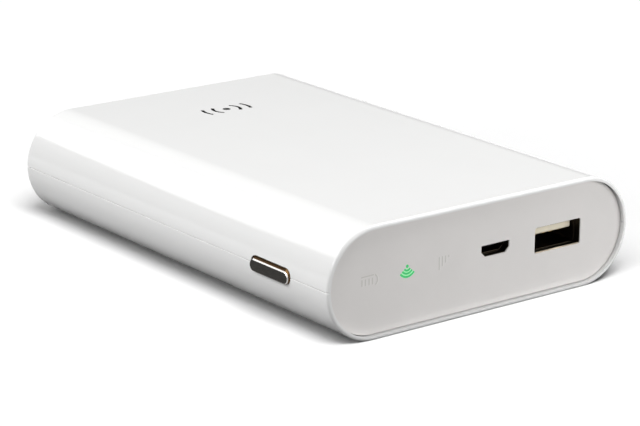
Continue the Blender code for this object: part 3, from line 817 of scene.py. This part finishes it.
def print_icons():
    """The three lamp marks. Unlit ones are drawn darker than the panel as painted shade, over a paler
    copy that is a painted highlight.
    """
    battery = battery_marks()
    signal = signal_marks()
    print_marks("battery_glint", battery, ICON_PAINTED_HIGHLIGHT, "satin_grey", UNDER_ICON_PROUD, BATTERY_GLINT_SHIFT)
    print_marks("signal_glint", signal, ICON_PAINTED_HIGHLIGHT, "satin_grey", UNDER_ICON_PROUD, SIGNAL_GLINT_SHIFT)
    print_marks("battery", battery, ICON, "satin_grey", ICON_PROUD)
    print_marks("signal", signal, ICON, "satin_grey", ICON_PROUD)
    print_marks("wireless_glow", wireless_glow(), GLOW, "led_lit", UNDER_ICON_PROUD)
    print_marks("wireless", wireless_marks(), LIT, "led_lit", ICON_PROUD)


def make_front_panel():
    panel = to_object("port_panel", along_y(stadium(PLATE_INSET), PANEL_LOW.y, PANEL_HIGH.y), SATIN)
    for hole in (usb_outline(SLEEVE_ROOM), micro_hole_outline(SLEEVE_ROOM)):
        boolean(panel, along_y(hole, PANEL_LOW.y - CUT_PAST, PANEL_HIGH.y + CUT_PAST))
    bevel(panel, PANEL_BEVEL)
    smooth(panel)
    add(panel, "housing", "satin_grey", "front_panel")
    print_icons()


def make_rear_cover():
    """The rear plate, with the tongues that hold it and two stiffening ribs on its inner face."""
    inner_y = REAR_HIGH.y - PLATE_THICK
    cover = to_object("rear_cap", along_y(stadium(PLATE_INSET), inner_y, REAR_HIGH.y), SATIN)
    bevel(cover, REAR_BEVEL)
    half_x, half_z = REAR_TONGUE_HALF
    for x, z in REAR_TONGUES:
        root = inner_y + REAR_TONGUE_ROOT
        tongue = box((x - half_x, REAR_LOW.y, z - half_z), (x + half_x, root, z + half_z))
        boolean(cover, tongue, "UNION")
    for low, high in REAR_RIBS:
        corner = (-REAR_RIB_HALF, inner_y - REAR_RIB_TALL, low)
        boolean(cover, box(corner, (REAR_RIB_HALF, inner_y + REAR_RIB_ROOT, high)), "UNION")
    smooth(cover)
    add(cover, "rear_cover", "satin_grey", "rear_cover")


# ---------------------------------------------------------------- power key


def key_ring(x, front, rear, top, bottom):
    """The key's outline at a depth, drawn in by a different amount at each edge."""
    size = (KEY_SIZE[0] - front - rear, KEY_SIZE[1] - top - bottom)
    centre = (KEY_Y + (front - rear) / 2, KEY_Z + (bottom - top) / 2)
    corner = KEY_CORNER - (front + rear + top + bottom) / 4
    return [(x, y, z) for y, z in rounded_rectangle(size, corner, centre, KEY_CORNER_STEPS)]


def make_power_key():
    """A dark cap with a shoulder that is widest above, a polished edge, and a flange behind the wall."""
    back = KEY_HIGH.x - KEY_FLANGE_THICK
    rings = [key_ring(KEY_LOW.x + depth, *drawn_in) for depth, *drawn_in in KEY_RINGS]
    rings += [key_ring(x, 0.0, 0.0, 0.0, 0.0) for x in (SIDE_X, back)]
    size = (KEY_HIGH.y - KEY_LOW.y, KEY_HIGH.z - KEY_LOW.z)
    flange = rounded_rectangle(size, KEY_CORNER, (KEY_Y, KEY_Z), KEY_CORNER_STEPS)
    rings += [[(x, y, z) for y, z in flange] for x in (back, KEY_HIGH.x)]
    key = to_object("power_key_cap", loft(rings), KEY)
    key.data.materials.append(KEY_EDGE)
    key.data.materials.append(KEY_SHOULDER)
    count = len(flange)
    for ring, skin in KEY_BANDS.items():
        for i in range(count):
            key.data.polygons[ring * count + i].material_index = skin
    smooth(key, KEY_SMOOTH_ANGLE)
    add(key, "power_key", "dark_chrome", "power_button")


# ---------------------------------------------------------------- ports


def make_shell(name, outline, inner, low, high, rounding):
    """A port's sheet metal tube, open at both ends, darkened as painted shade for the port's shadowed
    inside.
    """
    shell = to_object(name, along_y(outline, low.y, high.y), PORT_STEEL_PAINTED_SHADE)
    boolean(shell, along_y(inner, low.y - CUT_PAST, high.y + CUT_PAST))
    bevel(shell, rounding, 2)
    smooth(shell)
    return shell


def make_usb_tongue():
    """The ivory tongue, with a chamfered nose and a deeper root."""
    front = TONGUE_LOW.y
    back = TONGUE_HIGH.y
    root = back - USB_TONGUE_ROOT
    top = TONGUE_HIGH.z
    bottom = top - USB_TONGUE_THICK
    side = [
        (front, bottom + USB_TONGUE_NOSE_LOW),
        (front + USB_TONGUE_NOSE_LOW, bottom),
        (root, bottom),
        (root, TONGUE_LOW.z),
        (back, TONGUE_LOW.z),
        (back, top),
        (front + USB_TONGUE_NOSE_HIGH, top),
        (front, top - USB_TONGUE_NOSE_HIGH),
    ]
    rings = [[(x, y, z) for y, z in side] for x in (TONGUE_LOW.x, TONGUE_HIGH.x)]
    tongue = to_object("usb_a_insert", loft(rings), IVORY)
    bevel(tongue, USB_TONGUE_BEVEL, 2)
    smooth(tongue)
    add(tongue, "housing", "ivory_plastic", "usb_a_tongue")


def make_usb_a():
    """The large port: its shell and the sleeve at its mouth, both darkened as painted shade, the bright
    lip at its mouth, a painted highlight, and its tongue.
    """
    centre = middle_of(USB_LOW, USB_HIGH)
    size = (USB_HIGH.x - USB_LOW.x, USB_HIGH.z - USB_LOW.z)
    outline = rounded_rectangle(size, USB_SHELL_CORNER, centre, 4)
    inner_size = (size[0] - 2 * PORT_SKIN, size[1] - 2 * PORT_SKIN)
    inner = rounded_rectangle(inner_size, USB_INNER_CORNER, centre, 4)
    shell = make_shell("usb_a_housing", outline, inner, USB_LOW, USB_HIGH, USB_SHELL_BEVEL)
    add(shell, "housing", "steel", "usb_a_shell")
    make_sleeve("usb_a_sleeve", usb_outline(SLEEVE_ROOM - SLEEVE_FIT), usb_outline())
    make_usb_lip()
    make_usb_tongue()


def make_micro_usb():
    """The small port: its shell, and the sleeve at its mouth."""
    centre = middle_of(MICRO_LOW, MICRO_HIGH)
    size = (MICRO_HIGH.x - MICRO_LOW.x, MICRO_HIGH.z - MICRO_LOW.z)
    outline = micro_outline(size, MICRO_CHAMFER, centre)
    inner_size = (size[0] - 2 * PORT_SKIN, size[1] - 2 * PORT_SKIN)
    inner = micro_outline(inner_size, MICRO_INNER_CHAMFER, centre)
    shell = make_shell("micro_usb_housing", outline, inner, MICRO_LOW, MICRO_HIGH, MICRO_SHELL_BEVEL)
    add(shell, "housing", "steel", "micro_usb_shell")
    make_sleeve("micro_usb_sleeve", micro_hole_outline(SLEEVE_ROOM - SLEEVE_FIT), micro_hole_outline())


# ---------------------------------------------------------------- carried-over CAD nodes


def dress_frame():
    """Gives every CAD node the material of its slot. The slots left out are only on replaced nodes."""
    slots = {}
    for row in frame["record"]["subparts"]:
        slots[row["node"]] = row["material_slot"]
    for name, obj in frame["nodes"].items():
        skin = NODE_LOOKS.get(name) or SLOT_LOOKS.get(slots[name])
        if skin is None:
            continue
        obj.data.materials.clear()
        obj.data.materials.append(skin)


# ---------------------------------------------------------------- stage


def make_floor():
    """White paper that sends no light up at the object: the world below the horizon does that."""
    bm = bmesh.new()
    bmesh.ops.create_grid(bm, x_segments=8, y_segments=8, size=FLOOR_HALF)
    floor = to_object("floor", bm, floor_paper())
    floor.location.z = -FLOOR_DROP * MM
    floor.visible_diffuse = False


def toward(direction):
    """The unit vector of an (azimuth, elevation) pair; azimuth 0 is +Y and grows towards +X."""
    azimuth, elevation = (math.radians(a) for a in direction)
    level = math.cos(elevation)
    return Vector((math.sin(azimuth) * level, math.cos(azimuth) * level, math.sin(elevation)))


def link_to_floor(light, state):
    """Makes a light reach the floor only (INCLUDE), or everything but the floor (EXCLUDE)."""
    receivers = bpy.data.collections.new(f"{light.name}_receivers")
    receivers.objects.link(bpy.data.objects["floor"])
    receivers.collection_objects[0].light_linking.link_state = state
    light.light_linking.receiver_collection = receivers


def area_light(name, direction, distance, size, radiance):
    """A softbox of a given brightness, aimed at the object, that skips the floor. Distance and size
    are in metres."""
    softbox = bpy.data.lights.new(name, "AREA")
    softbox.shape = "RECTANGLE"
    softbox.size, softbox.size_y = size
    softbox.energy = radiance * math.pi * size[0] * size[1]
    obj = bpy.data.objects.new(name, softbox)
    obj.location = toward(direction) * distance
    obj.rotation_euler = (-toward(direction)).to_track_quat("-Z", "Y").to_euler()
    obj.visible_camera = False
    bpy.context.scene.collection.objects.link(obj)
    link_to_floor(obj, "EXCLUDE")


def floor_sun(name, direction, irradiance, angle):
    """Light on the floor alone, so that the paper stays white and the shadow on it stays deep."""
    sun = bpy.data.lights.new(name, "SUN")
    sun.energy = irradiance
    sun.angle = math.radians(angle)
    obj = bpy.data.objects.new(name, sun)
    obj.rotation_euler = (-toward(direction)).to_track_quat("-Z", "Y").to_euler()
    bpy.context.scene.collection.objects.link(obj)
    link_to_floor(obj, "INCLUDE")


def fade_with_height(tree, height, span, start, end):
    """A value that goes from start to end as a direction's height crosses a span."""
    fade = tree.nodes.new("ShaderNodeMapRange")
    fade.inputs["From Min"].default_value, fade.inputs["From Max"].default_value = span
    fade.inputs["To Min"].default_value = start
    fade.inputs["To Max"].default_value = end
    tree.links.new(height, fade.inputs["Value"])
    return fade.outputs["Result"]


def combine(tree, operation, first, second):
    made = tree.nodes.new("ShaderNodeMath")
    made.operation = operation
    tree.links.new(first, made.inputs[0])
    tree.links.new(second, made.inputs[1])
    return made.outputs["Value"]


def make_sky():
    """A dim room, brighter near the horizon and darker below it. The camera itself sees plain white."""
    world = bpy.data.worlds.new("studio")
    world.use_nodes = True
    tree = world.node_tree
    place = tree.nodes.new("ShaderNodeTexCoord")
    parts = tree.nodes.new("ShaderNodeSeparateXYZ")
    tree.links.new(place.outputs["Generated"], parts.inputs["Vector"])
    height = parts.outputs["Z"]
    above = fade_with_height(tree, height, HORIZON_FADE, HORIZON_LEVEL, SKY_LEVEL)
    below = fade_with_height(tree, height, BELOW_FADE, BELOW_SHARE, 1.0)
    level = combine(tree, "MULTIPLY", above, below)
    camera_ray = tree.nodes.new("ShaderNodeLightPath").outputs["Is Camera Ray"]
    background = tree.nodes["Background"]
    tree.links.new(combine(tree, "MAXIMUM", level, camera_ray), background.inputs["Strength"])
    background.inputs["Color"].default_value = (1.0, 1.0, 1.0, 1.0)
    bpy.context.scene.world = world


def make_lights():
    """Each light's direction is an (azimuth, elevation) pair in degrees."""
    make_sky()
    area_light("key_left", (-84, 40), 0.80, (0.90, 0.36), 6.3)
    area_light("right_top", (92, 52), 0.80, (0.50, 0.50), 7.4)
    area_light("rear_strip", (-16, 33), 1.60, (0.95, 0.52), 2.9)
    area_light("front_fill", (155, 7), 0.30, (0.22, 0.22), 3.4)
    area_light("front_left", (-138, 18), 0.80, (0.50, 0.30), 2.3)
    floor_sun("floor_sun_left", (-122, 46), 1.35, 30)
    floor_sun("floor_sun_front", (-157, 55), 2.65, 30)
    floor_sun("floor_sun_low", (-100, 15), 0.95, 30)


def make_camera():
    """The photograph's view: a long lens, from the front left and a little above."""
    lens = bpy.data.cameras.new("camera")
    lens.sensor_width = SENSOR_MM
    lens.lens = LENS_MM
    lens.clip_end = CLIP_METRES
    azimuth = math.radians(CAMERA_AZIMUTH)
    elevation = math.radians(CAMERA_ELEVATION)
    roll = math.radians(CAMERA_ROLL)
    back = Vector((
        math.sin(azimuth) * math.cos(elevation),
        -math.cos(azimuth) * math.cos(elevation),
        math.sin(elevation),
    ))
    right = Vector((0, 0, 1)).cross(back).normalized()
    up = back.cross(right)
    across = math.cos(roll) * right + math.sin(roll) * up
    upward = math.cos(roll) * up - math.sin(roll) * right
    place = Vector((0, 0, MID_Z)) + back * CAMERA_DISTANCE
    place += across * CAMERA_RIGHT - upward * CAMERA_DOWN
    obj = bpy.data.objects.new("camera", lens)
    turn = Matrix((across, upward, back)).transposed().to_4x4()
    obj.matrix_world = Matrix.Translation(place * MM) @ turn
    bpy.context.scene.collection.objects.link(obj)
    bpy.context.scene.camera = obj


def set_tones():
    """Plain display tones, so that a colour shows as it is given."""
    bpy.context.scene.view_settings.view_transform = "Standard"
    bpy.context.scene.view_settings.look = "None"


make_camera()
set_tones()
make_floor()
make_lights()
make_top_cover()
make_bottom_cover()
make_front_panel()
make_rear_cover()
make_power_key()
make_usb_a()
make_micro_usb()
dress_frame()
